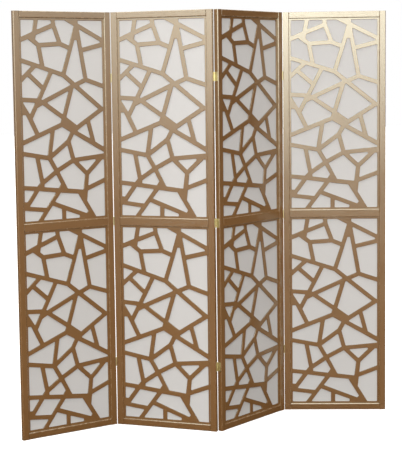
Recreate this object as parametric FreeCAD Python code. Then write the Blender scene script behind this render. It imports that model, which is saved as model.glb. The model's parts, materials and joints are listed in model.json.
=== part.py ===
import FreeCAD, Part
import math
import os

Vector = FreeCAD.Vector

# A folding screen of four equal panels, hinged edge to edge and standing in a zigzag.
# Each panel is drawn upright: its width along X, its front face at Y = 0, its back face
# at Y = frame_thickness and its foot at Z = 0. All lengths are in millimetres.
panel_width = 450
panel_height = 1778
frame_thickness = 20

# Stiles and rails of the frame, each with its four long edges eased
stile_width = 28
end_rail_height = 28
mid_rail_height = 36
edge_bevel = 2.5

# Rebate behind each opening, which holds the lattice, the sheet and the beads
front_lip = 7
rebate_width = 6

# Tenons on the ends of the rails, and their mortises in the stiles
tenon_length = 12
tenon_thickness = 5
wood_beside_tenon = 1
mortise_clearance = 0.2

# Infill of each opening, from front to back
infill_clearance = 0.5
lattice_thickness = 4
lattice_border = 8
rib_width = 18.5
sheet_thickness = 0.5
bead_width = 10
bead_depth = 8
bead_bevel = 3

# Butt hinges: three on each fold. The left leaf's two outer knuckles carry the fixed pin,
# and the right leaf's knuckle turns on it between them. The barrel has fine flats.
hinges_per_fold = 3
hinge_height = 38
hinge_from_end = 277
leaf_thickness = 1.0
leaf_gap = 0.3
leaf_reach = 17
knuckle_radius = 2.35
knuckle_gap = 0.3
pin_radius = 1.0
pin_clearance = 0.05
pin_before_face = 0.15
barrel_flats = 16

# Direction of each panel's width, in degrees from the run of the screen
panel_headings = (17.5, -34, 34, -17.5)
# Folds 1 and 3 close front to front and fold 2 closes back to back.
fold_sides = ("front", "back", "front")

# Where the ribs of a lattice meet, as shares of the width and height of the field inside
# its border, from the field's top left corner. Points outside the field end ribs there.
meeting_shares = {
    "a1": (-0.045, -0.021), "a2": (0.192, -0.018), "a3": (0.384, -0.018), "a4": (0.508, -0.018),
    "a5": (0.666, -0.018), "a6": (1.061, -0.018),
    "b1": (0.395, 0.024), "b2": (0.676, 0.022),
    "c1": (-0.039, 0.104), "c2": (0.087, 0.082), "c3": (0.145, 0.101), "c4": (0.158, 0.066),
    "c5": (0.634, 0.087), "c6": (0.703, 0.087), "c7": (1.000, 0.098),
    "d1": (0.208, 0.124), "d2": (0.471, 0.117), "d3": (0.600, 0.141), "d4": (0.726, 0.150),
    "d5": (1.000, 0.120), "d6": (1.061, 0.114),
    "e1": (-0.039, 0.194), "e2": (0.168, 0.223), "e3": (0.255, 0.237),
    "f1": (0.068, 0.263), "f2": (0.361, 0.251), "f3": (0.505, 0.273), "f4": (0.784, 0.298),
    "g1": (-0.039, 0.309), "g2": (0.261, 0.341), "g3": (0.608, 0.332), "g4": (0.645, 0.325),
    "g5": (1.061, 0.341),
    "h1": (-0.045, 0.391), "h2": (0.161, 0.428), "h3": (0.195, 0.399), "h4": (0.245, 0.408),
    "i1": (-0.045, 0.458), "i2": (0.055, 0.458), "i3": (0.982, 0.449), "i4": (1.061, 0.449),
    "j1": (0.092, 0.489), "j2": (0.479, 0.521), "j3": (0.503, 0.489), "j4": (0.800, 0.501),
    "k1": (0.363, 0.542), "k2": (0.613, 0.557), "k3": (0.661, 0.541),
    "l1": (-0.039, 0.614), "l2": (0.182, 0.574), "l3": (0.553, 0.607), "l4": (0.871, 0.622),
    "m1": (-0.039, 0.658), "m2": (0.163, 0.675), "m3": (1.061, 0.673),
    "n1": (0.313, 0.688), "n2": (0.611, 0.704), "n3": (0.900, 0.692), "n4": (0.963, 0.697),
    "n5": (1.061, 0.697), "n6": (1.103, 0.684),
    "o1": (0.400, 0.756), "o2": (0.924, 0.714),
    "p1": (0.221, 0.812), "p2": (0.479, 0.822), "p3": (0.779, 0.777), "p4": (1.061, 0.804),
    "q1": (-0.039, 0.829), "q2": (0.168, 0.839), "q3": (0.218, 0.842),
    "r1": (0.432, 0.854), "r2": (0.516, 0.857), "r3": (0.761, 0.856),
    "s1": (0.676, 0.866), "s2": (0.753, 0.870),
    "t1": (-0.045, 0.912), "t2": (-0.039, 0.931), "t3": (0.047, 0.914), "t4": (0.329, 0.915),
    "t5": (0.747, 0.918),
    "u1": (0.013, 0.935), "u2": (0.276, 0.949), "u3": (0.479, 0.942),
    "v1": (0.700, 0.979), "v2": (0.774, 0.993), "v3": (0.816, 0.970),
    "w1": (-0.045, 1.024), "w2": (0.150, 1.024), "w3": (0.479, 1.024), "w4": (0.700, 1.024),
    "w5": (0.889, 1.024), "w6": (1.061, 1.024),
}

# The meeting points round each cut-out, from the top of the lattice down
cut_outs = (
    "a1 a2 c4 c1", "a2 a3 b1 c4", "a3 a4 b2 d3 d2 b1", "a5 a6 d6 b2",
    "c4 b1 d2 d1 c3", "b2 c7 d5 d4", "c1 c2 d1 e3 e1", "d1 d2 d3 f3 e3",
    "c5 c6 f4 g4 f3", "d4 d6 g5 f4", "e1 e2 g1", "e2 f2 g2 f1",
    "g1 f1 g2 h3 h1", "f2 f3 g4 h4 h3", "f4 g5 i4 i3 g4", "h1 h3 j1",
    "h4 g3 j3", "g4 i3 k3 j3 g3", "h4 j3 j2 l2 j1 h2", "i1 i2 l2 l1",
    "j4 i3 i4 m3 l4", "k1 j2 k2 l3 n1", "k2 j4 l4", "l1 k1 n1 m1",
    "k2 n6 n2 l3", "l3 n2 o1 n1", "m1 m2 p1 q2 q1", "m2 n1 o1 p1",
    "n2 n3 o2 p3", "n4 n5 p4 r3 p3", "n2 p3 s2 r2 o1", "o1 p2 r1 q3 p1",
    "q1 q2 t3 t1", "q2 r1 u2 u1", "r1 s1 v3 v2 t4", "r3 p4 w6 w5 t5",
    "t2 u2 w2 w1", "t4 u3 w3 w2", "u3 v1 w4 w3",
)

# Sizes that follow from the ones above
opening_width = panel_width - 2 * stile_width
opening_height = (panel_height - 2 * end_rail_height - mid_rail_height) / 2
mid_rail_foot = end_rail_height + opening_height
opening_feet = {"lower": end_rail_height, "upper": mid_rail_foot + mid_rail_height}
infill_overlap = rebate_width - infill_clearance
sheet_front = front_lip + lattice_thickness
bead_front = sheet_front + sheet_thickness
tenon_margin = rebate_width + wood_beside_tenon
tenon_front = (frame_thickness - tenon_thickness) / 2
hinge_centres = [
    hinge_from_end + step * (panel_height - 2 * hinge_from_end) / (hinges_per_fold - 1)
    for step in range(hinges_per_fold)
]
knuckle_height = (hinge_height - 2 * knuckle_gap) / 3
pin_from_edge = leaf_thickness + leaf_gap / 2


def block(left, front, foot, width, depth, height):
    return Part.makeBox(width, depth, height, Vector(left, front, foot))


def outline_face(points):
    return Part.Face(Part.makePolygon(points + points[:1]))


def eased_section(width, depth):
    """The corners of a bar's rectangular section with its four edges bevelled."""
    ease = edge_bevel
    return [
        (ease, 0), (width - ease, 0), (width, ease), (width, depth - ease),
        (width - ease, depth), (ease, depth), (0, depth - ease), (0, ease),
    ]


def rebates():
    """The space routed from the back round each opening."""
    cutters = []
    for foot in opening_feet.values():
        cutters.append(block(
            stile_width - rebate_width, front_lip, foot - rebate_width,
            opening_width + 2 * rebate_width, frame_thickness - front_lip,
            opening_height + 2 * rebate_width))
    return cutters


def rail_places():
    """Each rail's foot and height."""
    return {
        "bottom_rail": (0, end_rail_height),
        "mid_rail": (mid_rail_foot, mid_rail_height),
        "top_rail": (panel_height - end_rail_height, end_rail_height),
    }


def rail(foot, height):
    """A rail with a tenon at each end, its rebates cut."""
    section = [Vector(stile_width, y, foot + z) for z, y in eased_section(height, frame_thickness)]
    bar = outline_face(section).extrude(Vector(opening_width, 0, 0))
    tenons = block(
        stile_width - tenon_length, tenon_front, foot + tenon_margin,
        opening_width + 2 * tenon_length, tenon_thickness, height - 2 * tenon_margin)
    return bar.fuse(tenons).cut(rebates()).removeSplitter()


def left_stile():
    """A full-height stile with a mortise for each rail, its rebates cut."""
    section = [Vector(x, y, 0) for x, y in eased_section(stile_width, frame_thickness)]
    bar = outline_face(section).extrude(Vector(0, 0, panel_height))
    mortises = []
    for foot, height in rail_places().values():
        mortises.append(block(
            stile_width - tenon_length - mortise_clearance, tenon_front - mortise_clearance,
            foot + tenon_margin - mortise_clearance, tenon_length + mortise_clearance,
            tenon_thickness + 2 * mortise_clearance,
            height - 2 * tenon_margin + 2 * mortise_clearance))
    return bar.cut(rebates() + mortises).removeSplitter()


def right_stile():
    return left_stile().mirror(Vector(panel_width / 2, 0, 0), Vector(1, 0, 0))


def inset_outline(points, distance):
    """Moves every side of a closed outline inwards by one distance."""
    count = len(points)
    area = sum(
        points[i][0] * points[(i + 1) % count][1] - points[(i + 1) % count][0] * points[i][1]
        for i in range(count))
    inward = math.copysign(distance, area)
    sides = []
    for i in range(count):
        (x, z), (next_x, next_z) = points[i], points[(i + 1) % count]
        length = math.hypot(next_x - x, next_z - z)
        along = ((next_x - x) / length, (next_z - z) / length)
        sides.append(((x - inward * along[1], z + inward * along[0]), along))
    corners = []
    for i in range(count):
        (x, z), along = sides[i - 1]
        (next_x, next_z), next_along = sides[i]
        turn = along[0] * next_along[1] - along[1] * next_along[0]
        reach = ((next_x - x) * next_along[1] - (next_z - z) * next_along[0]) / turn
        corners.append((x + reach * along[0], z + reach * along[1]))
    return corners


def lattice(foot):
    """A thin board pierced by the cut-outs, which leaves ribs of one width."""
    field_left = stile_width + lattice_border
    field_foot = foot + lattice_border
    field_width = opening_width - 2 * lattice_border
    field_height = opening_height - 2 * lattice_border
    places = {
        name: (
            field_left + across * field_width,
            field_foot + field_height - down * field_height)
        for name, (across, down) in meeting_shares.items()
    }
    prisms = []
    for names in cut_outs:
        corners = inset_outline([places[name] for name in names.split()], rib_width / 2)
        face = outline_face([Vector(x, front_lip, z) for x, z in corners])
        prisms.append(face.extrude(Vector(0, lattice_thickness, 0)))
    field = block(field_left, front_lip, field_foot, field_width, lattice_thickness, field_height)
    holes = field.common(Part.makeCompound(prisms))
    board = infill_block(foot, front_lip, lattice_thickness)
    return board.cut(holes).removeSplitter()


def infill_block(foot, front, depth):
    """A block as wide and high as what lies in one opening's rebate."""
    return block(
        stile_width - infill_overlap, front, foot - infill_overlap,
        opening_width + 2 * infill_overlap, depth, opening_height + 2 * infill_overlap)


def beads(foot):
    """Four mitred strips with a bevelled inner edge, which hold the sheet in its rebate."""
    left = stile_width - infill_overlap
    right = panel_width - left
    bottom = foot - infill_overlap
    top = foot + opening_height + infill_overlap
    back = bead_front + bead_depth
    middle_x = panel_width / 2
    middle_z = foot + opening_height / 2
    half = (right - left) / 2
    shallow = half - bead_width
    wide = shallow + bead_bevel
    ring = infill_block(foot, bead_front, bead_depth)
    inner = block(
        left + bead_width, bead_front, bottom + bead_width,
        right - left - 2 * bead_width, bead_depth, top - bottom - 2 * bead_width)
    bevel = Part.makeWedge(
        left + bead_width, back - bead_bevel, bottom + bead_width,
        bottom + bead_width - bead_bevel, middle_x - wide,
        right - bead_width, back, top - bead_width,
        top - bead_width + bead_bevel, middle_x + wide)
    ring = ring.cut([inner, bevel])
    mitre_foot = (middle_x, bottom + half)
    mitre_head = (middle_x, top - half)
    corners = {
        "left": [(left, bottom), mitre_foot, mitre_head, (left, top)],
        "right": [(right, bottom), mitre_foot, mitre_head, (right, top)],
        "bottom": [(left, bottom), mitre_foot, (right, bottom)],
        "top": [(left, top), mitre_head, (right, top)],
    }
    strips = []
    for points in corners.values():
        face = outline_face([Vector(x, bead_front, z) for x, z in points])
        strips.append(ring.common(face.extrude(Vector(0, bead_depth, 0))).Solids[0])
    return Part.makeCompound(strips)


def panel_pieces():
    """One panel's pieces, by name, in the panel's own place."""
    pieces = {"left_stile": left_stile(), "right_stile": right_stile()}
    for name, (foot, height) in rail_places().items():
        pieces[name] = rail(foot, height)
    for name, foot in opening_feet.items():
        pieces[name + "_lattice"] = lattice(foot)
        pieces[name + "_sheet"] = infill_block(foot, sheet_front, sheet_thickness)
        pieces[name + "_beads"] = beads(foot)
    return pieces


def knuckle(foot):
    """One knuckle rolled from the edge of a leaf, with no hole yet."""
    step = 2 * math.pi / barrel_flats
    points = [
        Vector(
            knuckle_radius * math.cos(turn * step), knuckle_radius * math.sin(turn * step), foot)
        for turn in range(barrel_flats)
    ]
    barrel = outline_face(points).extrude(Vector(0, 0, knuckle_height))
    return barrel.fuse(block(
        -pin_from_edge, 0, foot, leaf_thickness, leaf_reach, knuckle_height))


def leaf(foot, own_knuckles):
    """A hinge leaf on the left of its pin, the pin at the origin and the leaf along Y."""
    start = knuckle_radius + knuckle_gap
    plate = block(
        -pin_from_edge, start, foot, leaf_thickness, leaf_reach - start, hinge_height)
    spacing = knuckle_height + knuckle_gap
    return plate.fuse([knuckle(foot + place * spacing) for place in own_knuckles])


def hinge_pieces(side):
    """The leaves of one fold's hinges, with the pins' line at the origin."""
    left_leaves = []
    right_leaves = []
    for centre in hinge_centres:
        foot = centre - hinge_height / 2
        start = Vector(0, 0, foot)
        pin = Part.makeCylinder(pin_radius, hinge_height, start)
        bore = Part.makeCylinder(pin_radius + pin_clearance, hinge_height, start)
        left_leaves.append(leaf(foot, (0, 2)).fuse(pin).removeSplitter())
        right_leaf = leaf(foot, (1,)).cut(bore).removeSplitter()
        right_leaves.append(right_leaf.mirror(Vector(0, 0, 0), Vector(1, 0, 0)))
    pieces = {}
    for name, solids in (("left_leaves", left_leaves), ("right_leaves", right_leaves)):
        group = Part.makeCompound(solids)
        if side == "back":
            group = group.mirror(Vector(0, 0, 0), Vector(0, 1, 0))
        pieces[name] = group
    return pieces


def turned(x, y, heading):
    """A place in a panel, turned to the panel's heading."""
    angle = math.radians(heading)
    return Vector(
        x * math.cos(angle) - y * math.sin(angle), x * math.sin(angle) + y * math.cos(angle), 0)


def stood(shape, corner, heading):
    """A copy of a shape, turned to a heading and stood with its origin at a corner."""
    copy = shape.copy()
    copy.Placement = FreeCAD.Placement(
        corner, FreeCAD.Rotation(Vector(0, 0, 1), heading)).multiply(copy.Placement)
    return copy


# Stand the panels in their zigzag, each turned about the pins that it shares with the last.
solids = {}
pin_lines = []
corner = Vector(0, 0, 0)
pieces = panel_pieces()
for number, heading in enumerate(panel_headings, 1):
    for name, shape in pieces.items():
        solids[f"panel_{number}_{name}"] = stood(shape, corner, heading)
    if number > len(fold_sides):
        break
    side = fold_sides[number - 1]
    pin_y = frame_thickness + pin_before_face if side == "back" else -pin_before_face
    pin_line = corner + turned(panel_width + pin_from_edge, pin_y, heading)
    next_heading = panel_headings[number]
    for name, shape in hinge_pieces(side).items():
        leaf_heading = next_heading if name == "right_leaves" else heading
        solids[f"fold_{number}_{name}"] = stood(shape, pin_line, leaf_heading)
    corner = pin_line - turned(-pin_from_edge, pin_y, next_heading)
    pin_lines.append(pin_line)

# Bring the middle of the screen's footprint to the origin.
bounds = Part.makeCompound(list(solids.values())).BoundBox
middle = Vector((bounds.XMin + bounds.XMax) / 2, (bounds.YMin + bounds.YMax) / 2, bounds.ZMin)
os.makedirs("parts", exist_ok=True)
for name, shape in solids.items():
    shape.translate(-middle)
    shape.exportStep(f"parts/{name}.step")
for number, pin_line in enumerate(pin_lines, 1):
    place = pin_line - middle
    print(f"fold {number}: pins at x {place.x:.3f} mm, y {place.y:.3f} mm")
print(f"screen: {bounds.XLength:.1f} wide, {bounds.YLength:.1f} deep, {bounds.ZLength:.1f} high")
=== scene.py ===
import json
import math

import bmesh
import bpy
from mathutils import Matrix, Vector, geometry


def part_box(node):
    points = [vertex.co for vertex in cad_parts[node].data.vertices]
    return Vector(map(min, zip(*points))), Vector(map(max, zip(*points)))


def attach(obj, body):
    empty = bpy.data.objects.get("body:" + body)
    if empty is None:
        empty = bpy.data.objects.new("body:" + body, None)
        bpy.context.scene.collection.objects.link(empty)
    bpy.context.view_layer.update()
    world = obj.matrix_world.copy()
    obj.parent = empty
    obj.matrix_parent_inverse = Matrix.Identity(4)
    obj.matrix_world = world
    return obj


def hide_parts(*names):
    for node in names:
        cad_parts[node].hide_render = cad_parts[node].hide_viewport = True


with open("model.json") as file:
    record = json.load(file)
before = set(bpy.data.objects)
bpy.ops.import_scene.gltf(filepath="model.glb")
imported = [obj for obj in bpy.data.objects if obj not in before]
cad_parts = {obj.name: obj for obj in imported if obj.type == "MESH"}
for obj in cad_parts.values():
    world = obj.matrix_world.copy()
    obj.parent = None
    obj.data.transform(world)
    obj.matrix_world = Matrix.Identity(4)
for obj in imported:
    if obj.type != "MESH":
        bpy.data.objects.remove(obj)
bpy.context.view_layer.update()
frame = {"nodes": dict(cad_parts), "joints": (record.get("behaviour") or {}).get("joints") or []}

# The four frames. Each is made of softwood stiles and rails with milled bevels, tenoned
# together at square shoulders and sprayed with a satin gold-bronze paint, which lets a
# little grain show. Its edges are painted paler, both rubbed wear and a painted highlight.
# Edges along the hinges stay square.
panel_headings = (17.5, -34, 34, -17.5)
panel_numbers = range(1, len(panel_headings) + 1)
panel_width = 0.45
fold_sides = ("front", "back", "front")
hinge_height = 0.038
hinges_per_fold = 3
milled_bevel = 0.0025
bevel_run_out = 0.004
rail_easing = 0.0008
stile_easing = 0.0003
eased_angle = math.radians(20)
flat_angle = math.radians(1)
flat_face_weight = 100
tolerance = 0.00001

paint_colour = (0.171, 0.078, 0.0235)
paint_light_colour = (0.210, 0.102, 0.034)
paint_pore_colour = (0.116, 0.049, 0.0135)
# A paler paint for the edges: rubbed wear, and a painted highlight along them.
edge_wear_and_highlight_colour = (0.36, 0.235, 0.125)
paint_tint = (0.98, 1, 0.82, 1)
paint_index = 2.0
paint_shine = 0.9
paint_roughness = 0.17
paint_bump_strength = 0.28
paint_bump_depth = 0.0004
even_tone = 0.2
grain_across = 260
grain_along = 7
grain_tone = 0.5
pore_scale = 4.2
pore_range = (0.60, 0.74)
pore_tone = 0.6
pore_height = 0.5
cloud_scale = 7
cloud_tone = 0.6
cloud_roughness = 0.06
speck_scale = 900
speck_height = 0.25
edge_wear_and_highlight_scale = 38
edge_wear_and_highlight_range = (0.36, 0.62)
edge_wear_and_highlight_share = 0.75
rubbed_roughness = 0.12
unstretched = (1, 1, 1)


class Shade:
    """A shader node's output. Sums and products of it add the nodes that work them out."""

    def __init__(self, finish, socket):
        self.finish = finish
        self.socket = socket

    def maths(self, operation, *values):
        return self.finish.node("ShaderNodeMath", {"operation": operation}, dict(enumerate(values)))

    def __add__(self, other):
        return self.maths("ADD", self, other)

    def __radd__(self, other):
        return self.maths("ADD", other, self)

    def __sub__(self, other):
        return self.maths("SUBTRACT", self, other)

    def __rsub__(self, other):
        return self.maths("SUBTRACT", other, self)

    def __mul__(self, other):
        return self.maths("MULTIPLY", self, other)


class Finish:
    """The shader nodes of a material or of the world, added one at a time."""

    def __init__(self, owner):
        self.owner = owner
        self.owner.use_nodes = True
        self.tree = self.owner.node_tree
        self.tree.nodes.clear()

    def node(self, kind, settings=None, inputs=None, output=0):
        """Adds one node: its settings first, then the values or links of its sockets."""
        node = self.tree.nodes.new(kind)
        for name, value in (settings or {}).items():
            setattr(node, name, value)
        for name, value in (inputs or {}).items():
            if isinstance(value, Shade):
                self.tree.links.new(value.socket, node.inputs[name])
            else:
                node.inputs[name].default_value = value
        return Shade(self, node.outputs[output]) if len(node.outputs) else None

    def place(self, scale, heading=0):
        """Places on the piece in metres, turned to a panel's heading and stretched."""
        coordinates = self.node("ShaderNodeTexCoord", output="Object")
        return self.node("ShaderNodeMapping", {"vector_type": "TEXTURE"}, {
            "Vector": coordinates, "Rotation": (0, 0, math.radians(heading)),
            "Scale": tuple(1 / size for size in scale)})

    def noise(self, place, scale, detail, roughness=0.55):
        return self.node("ShaderNodeTexNoise", {}, {
            "Vector": place, "Scale": scale, "Detail": detail, "Roughness": roughness})

    def rise(self, value, low, high, blend="SMOOTHSTEP"):
        """A share that rises from 0 where a value is low to 1 where it is high."""
        return self.node("ShaderNodeMapRange", {"interpolation_type": blend}, {
            "Value": value, "From Min": low, "From Max": high})

    def mix(self, share, first, second):
        """A colour between two colours, by a share from 0 to 1."""
        return self.node("ShaderNodeMix", {"data_type": "RGBA"}, {
            "Factor": share, 6: first, 7: second}, output=2)

    def bump(self, strength, depth, height):
        return self.node("ShaderNodeBump", {}, {
            "Strength": strength, "Distance": depth, "Height": height})

    def surface(self, inputs):
        """The surface itself, from the values or links of its sockets."""
        shader = self.node("ShaderNodeBsdfPrincipled", {}, inputs)
        self.node("ShaderNodeOutputMaterial", {}, {"Surface": shader})
        return self.owner


def gold_paint(name, stretch, heading=0, grain=1.0, wear_and_highlight=0.0):
    """Satin gold-bronze paint over wood whose grain runs the way that the stretch is least."""
    finish = Finish(bpy.data.materials.new(name))
    along = finish.place(stretch, heading)
    evenly = finish.place(unstretched)
    grain_lines = finish.noise(along, 1, detail=4)
    pores = finish.rise(finish.noise(along, pore_scale, detail=2), *pore_range)
    clouds = finish.noise(evenly, cloud_scale, detail=2)
    specks = finish.noise(evenly, speck_scale, detail=1)
    middle_tone = even_tone - grain_tone / 2 * grain
    tone = grain_lines * (grain_tone * grain) + clouds * cloud_tone + middle_tone
    colour = finish.mix(tone, (*paint_colour, 1), (*paint_light_colour, 1))
    colour = finish.mix(pores * (pore_tone * grain), colour, (*paint_pore_colour, 1))
    roughness = paint_roughness + clouds * cloud_roughness
    # The edge paint is paler in patches: rubbed wear that also stands in for the edges' painted
    # highlight.
    if wear_and_highlight:
        edge_wear_and_highlight = finish.rise(finish.noise(evenly, edge_wear_and_highlight_scale, detail=4), *edge_wear_and_highlight_range)
        colour = finish.mix(edge_wear_and_highlight * wear_and_highlight, colour, (*edge_wear_and_highlight_colour, 1))
        roughness = roughness + edge_wear_and_highlight * rubbed_roughness
    height = grain_lines * grain + specks * speck_height - pores * (pore_height * grain)
    return finish.surface({
        "Base Color": colour, "Roughness": roughness, "IOR": paint_index,
        "Specular IOR Level": paint_shine, "Specular Tint": paint_tint,
        "Normal": finish.bump(paint_bump_strength, paint_bump_depth, height)})


def gold_paints(name, stretch, heading=0, grain=1.0):
    """The paint of a piece's faces, and the paler paint of its edges, which is rubbed wear and a
    painted highlight in one.
    """
    return (
        gold_paint(name, stretch, heading, grain),
        gold_paint(f"{name}_edges", stretch, heading, grain, wear_and_highlight=edge_wear_and_highlight_share))


def give(piece, *materials):
    piece.data.materials.clear()
    for material in materials:
        piece.data.materials.append(material)


def soften(piece, width, segments):
    """Rounds a piece's sharp edges a little and shades it smoothly between flat faces."""
    piece.modifiers.new("joined faces", "WELD").merge_threshold = tolerance
    flat = piece.modifiers.new("flat faces", "DECIMATE")
    flat.decimate_type = "DISSOLVE"
    flat.angle_limit = flat_angle
    bevel = piece.modifiers.new("eased edges", "BEVEL")
    bevel.width = width
    bevel.segments = segments
    bevel.limit_method = "ANGLE"
    bevel.angle_limit = eased_angle
    # The rounded edges take the piece's last material. On the painted pieces that is the paler edge
    # paint, rubbed wear and a painted highlight in one.
    bevel.material = len(piece.data.materials) - 1
    for face in piece.data.polygons:
        face.use_smooth = True
    piece.modifiers.new("flat shading", "WEIGHTED_NORMAL").weight = flat_face_weight


def panel_place(number):
    """Where a panel's own axes lie: along its width, from front to back, and up."""
    turn = Matrix.Rotation(math.radians(panel_headings[number - 1]), 4, "Z")
    stile = frame["nodes"][f"panel_{number}_left_stile"].data
    corners = [turn.inverted() @ vertex.co for vertex in stile.vertices]
    low = Vector([min(corner[axis] for corner in corners) for axis in range(3)])
    return turn @ Matrix.Translation(low)


def new_piece(name, mesh, place=Matrix.Identity(4)):
    """A piece whose mesh is copied and set in its place, its object at the origin."""
    piece = bpy.data.objects.new(name, mesh.copy())
    bpy.context.scene.collection.objects.link(piece)
    piece.data.transform(place)
    return piece


def mesh_of(shape, name):
    """Turns a shape into a mesh and frees the shape."""
    mesh = bpy.data.meshes.new(name)
    shape.to_mesh(mesh)
    shape.free()
    return mesh


def joined_shape(node, place):
    """The shape of a CAD node in its panel's own axes, its faces joined at their edges."""
    shape = bmesh.new()
    shape.from_mesh(node.data)
    shape.transform(place.inverted())
    bmesh.ops.remove_doubles(shape, verts=shape.verts, dist=tolerance)
    return shape


def hinge_spans(fold):
    """The heights between which the hinges of a fold stand."""
    low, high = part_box(f"fold_{fold}_left_leaves")
    spacing = (high.z - low.z - hinge_height) / (hinges_per_fold - 1)
    feet = [low.z + step * spacing for step in range(hinges_per_fold)]
    return [(foot, foot + hinge_height) for foot in feet]


def hinged_stile_mesh(node, place, outer, hinge_side, spans):
    """A stile whose edge at its hinges is left square, and milled only beside their barrels."""
    shape = joined_shape(node, place)
    for low, high in spans:
        for height in (low - bevel_run_out, low, high, high + bevel_run_out):
            bmesh.ops.bisect_plane(
                shape, geom=shape.verts[:] + shape.edges[:] + shape.faces[:],
                plane_co=(0, 0, height), plane_no=(0, 0, 1))
    face = 0 if hinge_side == "front" else max(vertex.co.y for vertex in shape.verts)
    reach = milled_bevel + tolerance
    for vertex in shape.verts:
        height = vertex.co.z
        corner = Vector((outer, face, height))
        apart = vertex.co - corner
        beside_hinge = any(low - tolerance < height < high + tolerance for low, high in spans)
        if abs(apart.x) < reach and abs(apart.y) < reach and not beside_hinge:
            vertex.co = corner
    bmesh.ops.remove_doubles(shape, verts=shape.verts, dist=tolerance)
    return mesh_of(shape, "stile")


places = {number: panel_place(number) for number in panel_numbers}
stile_paints = gold_paints("paint_on_stiles", (grain_across, grain_across, grain_along))
for number, heading in zip(panel_numbers, panel_headings):
    for name, outer, fold in (("left_stile", 0, number - 1), ("right_stile", panel_width, number)):
        node = f"panel_{number}_{name}"
        stile = frame["nodes"][node]
        if 1 <= fold <= len(fold_sides):
            mesh = hinged_stile_mesh(
                stile, places[number], outer, fold_sides[fold - 1], hinge_spans(fold))
            stile = new_piece(f"{node}_wood", mesh, places[number])
            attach(stile, f"panel_{number}")
            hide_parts(node)
        give(stile, *stile_paints)
        soften(stile, stile_easing, segments=2)
    rail_paints = gold_paints(
        f"paint_on_rails_{number}", (grain_along, grain_across, grain_across), heading)
    for name in ("top_rail", "mid_rail", "bottom_rail"):
        rail = frame["nodes"][f"panel_{number}_{name}"]
        give(rail, *rail_paints)
        soften(rail, rail_easing, segments=3)

# The eight lattices. Each is one thin board, pierced by a router into an irregular mesh of
# straight ribs, so every cut-out has round corners. The frame's paint eases its front
# edges, and it sits behind the lip of its opening.
corner_radius = 0.0042
corner_steps = 6
corner_reach_share = 0.42
straight_angle = math.radians(176)
front_facing = 0.9
rib_easing = 0.0007
easing_steps = 2
thin_wood_stretch = (60, 60, 60)
lattice_grain = 0.2
openings = ("lower", "upper")


def signed_area(points):
    """The area inside an outline, above 0 where it runs anticlockwise."""
    return sum(a.x * b.y - b.x * a.y for a, b in zip(points, points[1:] + points[:1])) / 2


def front_outlines(node, place):
    """The outlines of a board's front face as (across, up) points, and its two depths."""
    shape = joined_shape(node, place)
    shape.normal_update()
    front = {face for face in shape.faces if face.normal.y < -front_facing}
    links = {}
    for edge in shape.edges:
        if len([face for face in edge.link_faces if face in front]) == 1:
            first, second = edge.verts
            links.setdefault(first.index, []).append(second.index)
            links.setdefault(second.index, []).append(first.index)
    shape.verts.ensure_lookup_table()
    outlines = []
    while links:
        loop = [next(iter(links))]
        while True:
            following = [index for index in links[loop[-1]] if index not in loop]
            if not following:
                break
            loop.append(following[0])
        for index in loop:
            links.pop(index)
        outlines.append([Vector((shape.verts[i].co.x, shape.verts[i].co.z)) for i in loop])
    depths = [vertex.co.y for vertex in shape.verts]
    shape.free()
    outlines.sort(key=lambda points: -abs(signed_area(points)))
    return outlines, min(depths), max(depths)


def round_corners(points, radius):
    """The same outline, its straight sides joined by arcs."""
    rounded = []
    count = len(points)
    for i, corner in enumerate(points):
        before, after = points[i - 1] - corner, points[(i + 1) % count] - corner
        angle = before.angle(after)
        if angle > straight_angle:
            continue
        reach = min(
            radius / math.tan(angle / 2),
            corner_reach_share * before.length, corner_reach_share * after.length)
        start = corner + before.normalized() * reach
        end = corner + after.normalized() * reach
        for step in range(corner_steps + 1):
            t = step / corner_steps
            rounded.append(start * (1 - t) ** 2 + corner * (2 * t * (1 - t)) + end * t ** 2)
    return rounded


def shifted(points, distance):
    """The outline moved sideways by a small distance, to its left when it runs forward."""
    moved = []
    count = len(points)
    for i, point in enumerate(points):
        ahead = (points[(i + 1) % count] - points[i - 1]).normalized()
        moved.append(point + Vector((-ahead.y, ahead.x)) * distance)
    return moved


def pierced_board(outlines, front, back):
    """A board between two depths, with eased front edges round its outlines."""
    rings = []
    for index, points in enumerate(outlines):
        anticlockwise = signed_area(points) > 0
        if anticlockwise != (index == 0):
            points = points[::-1]
        ring = []
        for step in range(easing_steps + 1):
            angle = math.pi / 2 * step / easing_steps
            inward = rib_easing * (1 - math.sin(angle))
            depth = front + rib_easing * (1 - math.cos(angle))
            ring.append([(point, depth) for point in shifted(points, inward)])
        ring.append([(point, back) for point in points])
        rings.append(ring)
    shape = bmesh.new()
    made = []
    for ring in rings:
        made.append([[shape.verts.new((p.x, depth, p.y)) for p, depth in level] for level in ring])
    for ring in made:
        for level, (outer, inner) in enumerate(zip(ring, ring[1:])):
            count = len(outer)
            for i in range(count):
                j = (i + 1) % count
                face = shape.faces.new((outer[i], outer[j], inner[j], inner[i]))
                face.smooth = True
                # The eased front edges take the paler edge paint, rubbed wear and a painted
                # highlight in one.
                face.material_index = 1 if level < easing_steps else 0
    for level in (0, -1):
        loops = [[Vector((p.x, p.y, 0)) for p, depth in ring[level]] for ring in rings]
        corners = [vertex for ring in made for vertex in ring[level]]
        for triangle in geometry.tessellate_polygon(loops):
            try:
                shape.faces.new([corners[i] for i in triangle])
            except ValueError:
                # A triangle that is there already, or one without area, is left out.
                continue
    bmesh.ops.recalc_face_normals(shape, faces=shape.faces)
    return mesh_of(shape, "pierced_board")


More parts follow.
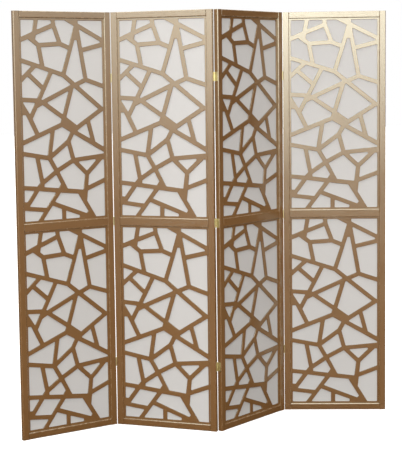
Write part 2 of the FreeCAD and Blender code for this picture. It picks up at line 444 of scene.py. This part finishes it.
pattern_node = frame["nodes"]["panel_1_lower_lattice"]
pattern_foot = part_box("panel_1_lower_lattice")[0].z
outlines, lattice_front, lattice_back = front_outlines(pattern_node, places[1])
rounded_outlines = outlines[:1] + [round_corners(points, corner_radius) for points in outlines[1:]]
board_mesh = pierced_board(rounded_outlines, lattice_front, lattice_back)
for number, heading in zip(panel_numbers, panel_headings):
    lattice_paints = gold_paints(
        f"paint_on_lattices_{number}", thin_wood_stretch, heading, lattice_grain)
    for opening in openings:
        node = f"panel_{number}_{opening}_lattice"
        rise = Matrix.Translation((0, 0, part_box(node)[0].z - pattern_foot))
        lattice = new_piece(f"{node}_board", board_mesh, places[number] @ rise)
        give(lattice, *lattice_paints)
        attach(lattice, f"panel_{number}")
        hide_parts(node)

# The eight sheets. Each is thin off-white non-woven stuff, cut to the rebate and stretched
# flat between the lattice and the beads, with long fibres that show against the light.
sheet_clear = 0.00008
sheet_thin = 0.00022
sheet_columns = 40
sheet_rows = 88
sheet_slack = 0.0012
slack_reach = 1.6
ripple_share = 0.3
ripple_across = 9
ripple_slant = 5
ripple_up = 11
ripple_start = 2
sheet_colour = (0.525, 0.52, 0.505)
sheet_fibre_colour = (0.60, 0.595, 0.58)
sheet_roughness = 0.92
sheet_shine = 0.15
fibre_tone = 0.75
fibre_stretch = (900, 900, 120)
fibre_strength = 0.25
fibre_depth = 0.0003
sheet_cloud_scale = 24


def sheet_mesh(left, right, foot, top, depth):
    """A fine grid that bellies backwards a little between its held edges."""
    shape = bmesh.new()
    rows = []
    for row in range(sheet_rows + 1):
        up = row / sheet_rows
        up_wave = math.sin(ripple_up * up + ripple_start)
        line = []
        for column in range(sheet_columns + 1):
            across = column / sheet_columns
            free = math.sin(math.pi * across) * math.sin(math.pi * up)
            across_wave = math.sin(ripple_across * across + ripple_slant * up)
            ripple = 1 - ripple_share + ripple_share * across_wave * up_wave
            slack = sheet_slack * ripple * min(1, slack_reach * free)
            line.append(shape.verts.new((
                left + (right - left) * across, depth + slack, foot + (top - foot) * up)))
        rows.append(line)
    for low, high in zip(rows, rows[1:]):
        for i in range(sheet_columns):
            shape.faces.new((low[i], low[i + 1], high[i + 1], high[i])).smooth = True
    return mesh_of(shape, "sheet")


def sheet_finish(name):
    finish = Finish(bpy.data.materials.new(name))
    fibres = finish.noise(finish.place(fibre_stretch), 1, detail=5, roughness=0.7)
    clouds = finish.noise(finish.place(unstretched), sheet_cloud_scale, detail=3)
    tone = fibres * fibre_tone + clouds * (1 - fibre_tone)
    return finish.surface({
        "Base Color": finish.mix(tone, (*sheet_colour, 1), (*sheet_fibre_colour, 1)),
        "Roughness": sheet_roughness, "Specular IOR Level": sheet_shine,
        "Normal": finish.bump(fibre_strength, fibre_depth, fibres)})


sheet_material = sheet_finish("non_woven_sheet")
for number in panel_numbers:
    for opening in openings:
        node = f"panel_{number}_{opening}_sheet"
        points = [places[number].inverted() @ v.co for v in frame["nodes"][node].data.vertices]
        left, front, foot = (min(point[axis] for point in points) for axis in range(3))
        right, back, top = (max(point[axis] for point in points) for axis in range(3))
        mesh = sheet_mesh(left, right, foot, top, front + sheet_clear)
        sheet = new_piece(f"{node}_cloth", mesh, places[number])
        thicken = sheet.modifiers.new("thickness", "SOLIDIFY")
        thicken.thickness = sheet_thin
        thicken.offset = 1
        give(sheet, sheet_material)
        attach(sheet, f"panel_{number}")
        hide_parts(node)
        right - left
        top - foot

# The beads. Thin mitred strips of wood with a bevelled inner edge, painted with the frame
# and pinned into the rebate behind each sheet.
bead_easing = 0.0004
bead_grain = 0.4

for number, heading in zip(panel_numbers, panel_headings):
    bead_paints = gold_paints(f"paint_on_beads_{number}", thin_wood_stretch, heading, bead_grain)
    for opening in openings:
        bead = frame["nodes"][f"panel_{number}_{opening}_beads"]
        give(bead, *bead_paints)
        soften(bead, bead_easing, segments=2)

# The nine hinges. Each is a small brass butt hinge, stamped and rolled from strip, with a
# leaf screwed flat on each stile's edge. The left leaf's two outer knuckles hold the pin,
# and the right leaf's knuckle turns between them.
leaf_thickness = 0.001
leaf_reach = 0.017
leaf_corner_radius = 0.002
leaf_corner_steps = 6
leaf_easing = 0.0002
pin_from_edge = 0.00115
pin_radius = 0.001
pin_head_radius = 0.0019
pin_head_rise = 0.0008
pin_head_steps = 5
knuckle_radius = 0.00235
knuckle_gap = 0.0003
knuckle_bore = pin_radius + knuckle_gap / 4
knuckle_height = (hinge_height - 2 * knuckle_gap) / 3
barrel_sides = 36
leaf_start = knuckle_radius + knuckle_gap
tongue_start = 0.9 * knuckle_radius
hole_radius = 0.0028
screw_sides = 28
screw_from_pin = 0.0103
screw_from_ends = 0.0085
screw_heights = (screw_from_ends, hinge_height - screw_from_ends)
brass_colour = (0.84, 0.77, 0.46)
brass_dull_colour = (0.58, 0.51, 0.29)
brass_roughness = 0.24
tarnish_roughness = 0.2
tarnish_scale = 160
brushed_stretch = (400, 400, 4000)
brushed_strength = 0.1
brushed_depth = 0.0001


def brass(name):
    finish = Finish(bpy.data.materials.new(name))
    tarnish = finish.noise(finish.place(unstretched), tarnish_scale, detail=4)
    brushed = finish.noise(finish.place(brushed_stretch), 1, detail=2)
    return finish.surface({
        "Base Color": finish.mix(tarnish, (*brass_colour, 1), (*brass_dull_colour, 1)),
        "Metallic": 1.0, "Roughness": brass_roughness + tarnish * tarnish_roughness,
        "Normal": finish.bump(brushed_strength, brushed_depth, brushed)})


def plate(shape, near_points, far_points):
    """Adds a closed plate between two like outlines."""
    near = [shape.verts.new(point) for point in near_points]
    far = [shape.verts.new(point) for point in far_points]
    count = len(near)
    for i in range(count):
        j = (i + 1) % count
        shape.faces.new((near[i], near[j], far[j], far[i]))
    shape.faces.new(near[::-1])
    shape.faces.new(far)


def circle(radius, sides):
    """Points evenly round a circle about the origin."""
    angles = [2 * math.pi * side / sides for side in range(sides)]
    return [(radius * math.cos(angle), radius * math.sin(angle)) for angle in angles]


def pin_circle(shape, radius, height):
    """Adds the corners of a circle about the pin's line."""
    return [shape.verts.new((x, y, height)) for x, y in circle(radius, barrel_sides)]


def join_circles(shape, circles):
    """Adds smooth faces from each circle of corners to the next."""
    for low, high in zip(circles, circles[1:]):
        count = len(low)
        for i in range(count):
            j = (i + 1) % count
            shape.faces.new((low[i], low[j], high[j], high[i])).smooth = True


def ring_tube(shape, outer, inner, low, high):
    """Adds a round tube about the pin's line."""
    profile = ((outer, low), (outer, high), (inner, high), (inner, low))
    circles = [pin_circle(shape, radius, height) for radius, height in profile]
    join_circles(shape, circles + circles[:1])


def turned_solid(shape, circles):
    """Adds a solid between circles of corners, closed at both its ends."""
    join_circles(shape, circles)
    shape.faces.new(circles[0][::-1])
    shape.faces.new(circles[-1])


def leaf_outline():
    """The outline of a leaf as (from the pin, up) points, its two free corners rounded."""
    outline = [(leaf_start, hinge_height)]
    for centre_z, start in ((hinge_height - leaf_corner_radius, 90), (leaf_corner_radius, 0)):
        for step in range(leaf_corner_steps + 1):
            angle = math.radians(start - 90 * step / leaf_corner_steps)
            outline.append((
                leaf_reach - leaf_corner_radius + leaf_corner_radius * math.cos(angle),
                centre_z + leaf_corner_radius * math.sin(angle)))
    return outline + [(leaf_start, 0)]


def carved(shape, cutters):
    """The mesh of a shape with the shapes of its cutters taken out of it."""
    pieces = []
    for part in (shape, *cutters):
        bmesh.ops.recalc_face_normals(part, faces=part.faces)
        pieces.append(bpy.data.objects.new("carving", mesh_of(part, "carving")))
        bpy.context.scene.collection.objects.link(pieces[-1])
    for cutter in pieces[1:]:
        cut = pieces[0].modifiers.new("cut", "BOOLEAN")
        cut.operation = "DIFFERENCE"
        cut.solver = "EXACT"
        cut.object = cutter
    bpy.context.view_layer.update()
    evaluated = pieces[0].evaluated_get(bpy.context.evaluated_depsgraph_get())
    mesh = bpy.data.meshes.new_from_object(evaluated)
    for piece in pieces:
        bpy.data.objects.remove(piece)
    return mesh


def screw_holes():
    """Two cutters for the screw holes of a leaf."""
    holes = []
    for height in screw_heights:
        place = Matrix.Translation((-pin_from_edge, screw_from_pin, height))
        hole = bmesh.new()
        bmesh.ops.create_cone(
            hole, cap_ends=True, segments=screw_sides, radius1=hole_radius, radius2=hole_radius,
            depth=4 * leaf_thickness, matrix=place @ Matrix.Rotation(math.pi / 2, 4, "Y"))
        holes.append(hole)
    return holes


def leaf_mesh(own_knuckles, with_pin):
    """A leaf on the left of its pin, with the pin's line at the origin."""
    near, far = -pin_from_edge, -pin_from_edge + leaf_thickness
    outline = leaf_outline()
    blank = bmesh.new()
    plate(blank, [(near, y, z) for y, z in outline], [(far, y, z) for y, z in outline])
    shape = bmesh.new()
    shape.from_mesh(carved(blank, screw_holes()))
    tongue = ((near, tongue_start), (far, tongue_start), (far, leaf_start), (near, leaf_start))
    for place in own_knuckles:
        low = place * (knuckle_height + knuckle_gap)
        high = low + knuckle_height
        ring_tube(shape, knuckle_radius, knuckle_bore, low, high)
        plate(shape, [(x, y, low) for x, y in tongue], [(x, y, high) for x, y in tongue])
    if with_pin:
        angles = [math.radians(90 * step / pin_head_steps) for step in range(pin_head_steps)]
        dome = [(pin_head_radius * math.cos(a), pin_head_rise * math.sin(a)) for a in angles]
        profile = [(radius, -rise) for radius, rise in dome[::-1]]
        profile += [(pin_radius, 0), (pin_radius, hinge_height)]
        profile += [(radius, hinge_height + rise) for radius, rise in dome]
        turned_solid(shape, [pin_circle(shape, radius, height) for radius, height in profile])
    bmesh.ops.recalc_face_normals(shape, faces=shape.faces)
    return mesh_of(shape, "hinge_leaf")


mirror_x = Matrix.Scale(-1, 4, (1, 0, 0))
mirror_y = Matrix.Scale(-1, 4, (0, 1, 0))
hinge_brass = brass("hinge_brass")
leaf_seats = {}
for fold, (joint, side) in enumerate(zip(frame["joints"], fold_sides), 1):
    pin_line = Vector(joint["pos_m"])
    for hand, number in (("left", fold), ("right", fold + 1)):
        node = f"fold_{fold}_{hand}_leaves"
        turn = Matrix.Rotation(math.radians(panel_headings[number - 1]), 4, "Z")
        flip = mirror_y if side == "back" else Matrix.Identity(4)
        if hand == "right":
            flip = flip @ mirror_x
        mesh = leaf_mesh((0, 2) if hand == "left" else (1,), hand == "left")
        whole = bmesh.new()
        for step, (foot, head) in enumerate(hinge_spans(fold), 1):
            seat = Matrix.Translation((pin_line.x, pin_line.y, foot)) @ turn @ flip
            leaf_seats[f"fold_{fold}_{hand}_{step}"] = (seat, number)
            copy = mesh.copy()
            copy.transform(seat)
            whole.from_mesh(copy)
        bmesh.ops.recalc_face_normals(whole, faces=whole.faces)
        leaves = new_piece(f"{node}_brass", mesh_of(whole, "hinge_leaves"))
        give(leaves, hinge_brass)
        soften(leaves, leaf_easing, segments=2)
        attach(leaves, f"panel_{number}")
        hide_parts(node)

# The hinge screws. Two countersunk brass screws with crossed slots hold each leaf to its
# stile. Their low domed heads lie flush in the leaf's holes, with the slots at odd angles.
screw_radius = 0.0026
screw_depth = 0.0009
screw_dome = 0.0001
screw_profile = (
    (screw_radius / 2, screw_depth), (screw_radius, screw_dome),
    (0.6 * screw_radius, screw_dome / 4), (0.2 * screw_radius, 0))
slot_half_length = 0.0016
slot_half_width = 0.0003
slot_depth = 0.0005
slot_arms = ((slot_half_length, slot_half_width), (slot_half_width, slot_half_length))
slot_turn = 20
slot_turn_by_name = 37
slot_turn_by_height = 400


def screw_mesh():
    """A low domed head at the origin, facing along X, its crossed slots cut in."""
    shape = bmesh.new()
    circles = []
    for radius, depth in screw_profile:
        circles.append([shape.verts.new((-depth, y, z)) for y, z in circle(radius, screw_sides)])
    turned_solid(shape, circles)
    slots = []
    for half_y, half_z in slot_arms:
        slot = bmesh.new()
        bmesh.ops.create_cube(slot, size=1, matrix=Matrix.Diagonal(
            (2 * slot_depth, 2 * half_y, 2 * half_z, 1)))
        slots.append(slot)
    return carved(shape, slots)


slotted_head = screw_mesh()
screw_brass = brass("screw_brass")
screw_face = Vector((-pin_from_edge + leaf_thickness, screw_from_pin, 0))
for name, (seat, number) in leaf_seats.items():
    for place, height in zip(("lower", "upper"), screw_heights):
        degrees = slot_turn + slot_turn_by_name * len(name) + slot_turn_by_height * height
        spin = Matrix.Rotation(math.radians(degrees), 4, "X")
        spot = Matrix.Translation(screw_face + Vector((0, 0, height)))
        screw = new_piece(f"{name}_{place}_screw", slotted_head, seat @ spot @ spin)
        give(screw, screw_brass)
        if seat.determinant() < 0:
            screw.data.flip_normals()
        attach(screw, f"panel_{number}")

# The floor, the light and the camera. The plain floor is seen white but throws back only a
# weak warm light. Soft light falls on the front, weaker light from above, both sides and
# behind, and the camera stands where the photograph was taken from.
floor_reach = 30
floor_colour = (0.14, 0.080, 0.042, 1)
seen_floor_colour = (0.94, 0.94, 0.935, 1)
seen_floor_glow = 0.4

upwards = (0, 0, 1)
box_towards = (-0.259, -0.966, 0)
box_strength = 4.8
fill_towards = (-0.052, -0.999, 0)
fill_strength = 0.9
top_strength = 3.0
left_towards = (-1, 0.04, 0)
left_strength = 2.6
right_towards = (0.69, -0.72, 0)
right_strength = 0.3
back_towards = (0.259, 0.966, 0)
back_strength = 3.2
sky_towards = (-0.6, 0.4, 0.7)
sky_strength = 0.25
dark_side_strength = 0.05

# Each lamp's name, place, target, width, height and power.
studio_lights = (
    ("key", (-0.83, -3.09, 2.9), (0, 0, 1.3), 1.4, 0.8, 58),
    ("left_strip", (-2.5, -3.86, 1.25), (0, 0, 1.0), 0.5, 2.5, 12),
)

photo_width = 402
photo_height = 450
sensor_height = 36
camera_place = Vector((-1.52985, -5.14303, 1.48795))
camera_turn = math.radians(14.853)
camera_tilt = math.radians(5.204)
camera_roll = math.radians(-0.822)
focal_pixels = 1259.51
centre_pixel_across = 170
centre_pixel_down = 195

floor_shape = bmesh.new()
bmesh.ops.create_grid(floor_shape, x_segments=1, y_segments=1, size=floor_reach)
floor = new_piece("floor", mesh_of(floor_shape, "floor"))
floor_finish = Finish(bpy.data.materials.new("pale_floor"))
is_seen = floor_finish.node("ShaderNodeLightPath", output="Is Camera Ray")
seen_floor = floor_finish.node("ShaderNodeBsdfPrincipled", {}, {
    "Base Color": seen_floor_colour, "Roughness": 0.9, "Specular IOR Level": 0,
    "Emission Color": (1, 1, 1, 1), "Emission Strength": seen_floor_glow})
lighting_floor = floor_finish.node("ShaderNodeBsdfDiffuse", {}, {"Color": floor_colour})
floor_surface = floor_finish.node(
    "ShaderNodeMixShader", {}, {0: is_seen, 1: lighting_floor, 2: seen_floor})
floor_finish.node("ShaderNodeOutputMaterial", {}, {"Surface": floor_surface})
give(floor, floor_finish.owner)

world = bpy.data.worlds.new("studio")
bpy.context.scene.world = world
sky = Finish(world)
towards = sky.node("ShaderNodeTexCoord", output="Generated")


def facing(direction, low, high, blend="SMOOTHSTEP"):
    """How far the light's direction faces a direction, from 0 at low to 1 at high."""
    along = sky.node("ShaderNodeVectorMath", {"operation": "DOT_PRODUCT"}, {
        0: towards, 1: direction}, output="Value")
    return sky.rise(along, low, high, blend)


box_light = facing(box_towards, 0.67, 1, "LINEAR") * box_strength
fill_light = facing(fill_towards, 0.3, 0.65) * fill_strength
above_floor = facing(upwards, -0.08, 0.09)
below_top = 1 - facing(upwards, 0.12, 0.38)
front_light = (box_light + fill_light) * above_floor * below_top
top_light = facing(upwards, 0.75, 0.95) * top_strength
left_light = facing(left_towards, 0.8, 0.98) * facing(upwards, -0.2, 0.02) * left_strength
right_light = facing(right_towards, 0.9, 1) * facing(upwards, -0.12, 0.04) * right_strength
back_light = facing(back_towards, 0.7, 0.97) * back_strength
sky_light = facing(sky_towards, -0.5, 0.6) * sky_strength
level = front_light + top_light + left_light + right_light + back_light + sky_light
level = level + dark_side_strength
seen = sky.node("ShaderNodeLightPath", output="Is Camera Ray")
background = sky.node("ShaderNodeBackground", {}, {
    "Color": (1, 1, 1, 1), "Strength": seen + (1 - seen) * level})
sky.node("ShaderNodeOutputWorld", {}, {"Surface": background})
bpy.context.scene.view_settings.view_transform = "Standard"

for name, place, target, width, height, power in studio_lights:
    lamp = bpy.data.lights.new(name, "AREA")
    lamp.shape = "RECTANGLE"
    lamp.size = width
    lamp.size_y = height
    lamp.energy = power
    light = bpy.data.objects.new(name, lamp)
    bpy.context.scene.collection.objects.link(light)
    light.location = place
    light.rotation_mode = "QUATERNION"
    light.rotation_quaternion = (Vector(target) - Vector(place)).to_track_quat("-Z", "Y")
    light.visible_camera = False

camera_data = bpy.data.cameras.new("camera")
camera_data.sensor_fit = "VERTICAL"
camera_data.sensor_height = sensor_height
camera_data.lens = focal_pixels / photo_height * sensor_height
camera_data.clip_end = 100
camera_data.shift_x = (photo_width / 2 - centre_pixel_across) / photo_height
camera_data.shift_y = -(photo_height / 2 - centre_pixel_down) / photo_height
camera = bpy.data.objects.new("camera", camera_data)
bpy.context.scene.collection.objects.link(camera)
camera.matrix_world = (
    Matrix.Translation(camera_place) @ Matrix.Rotation(-camera_turn, 4, "Z")
    @ Matrix.Rotation(math.pi / 2 - camera_tilt, 4, "X") @ Matrix.Rotation(camera_roll, 4, "Z"))
bpy.context.scene.camera = camera
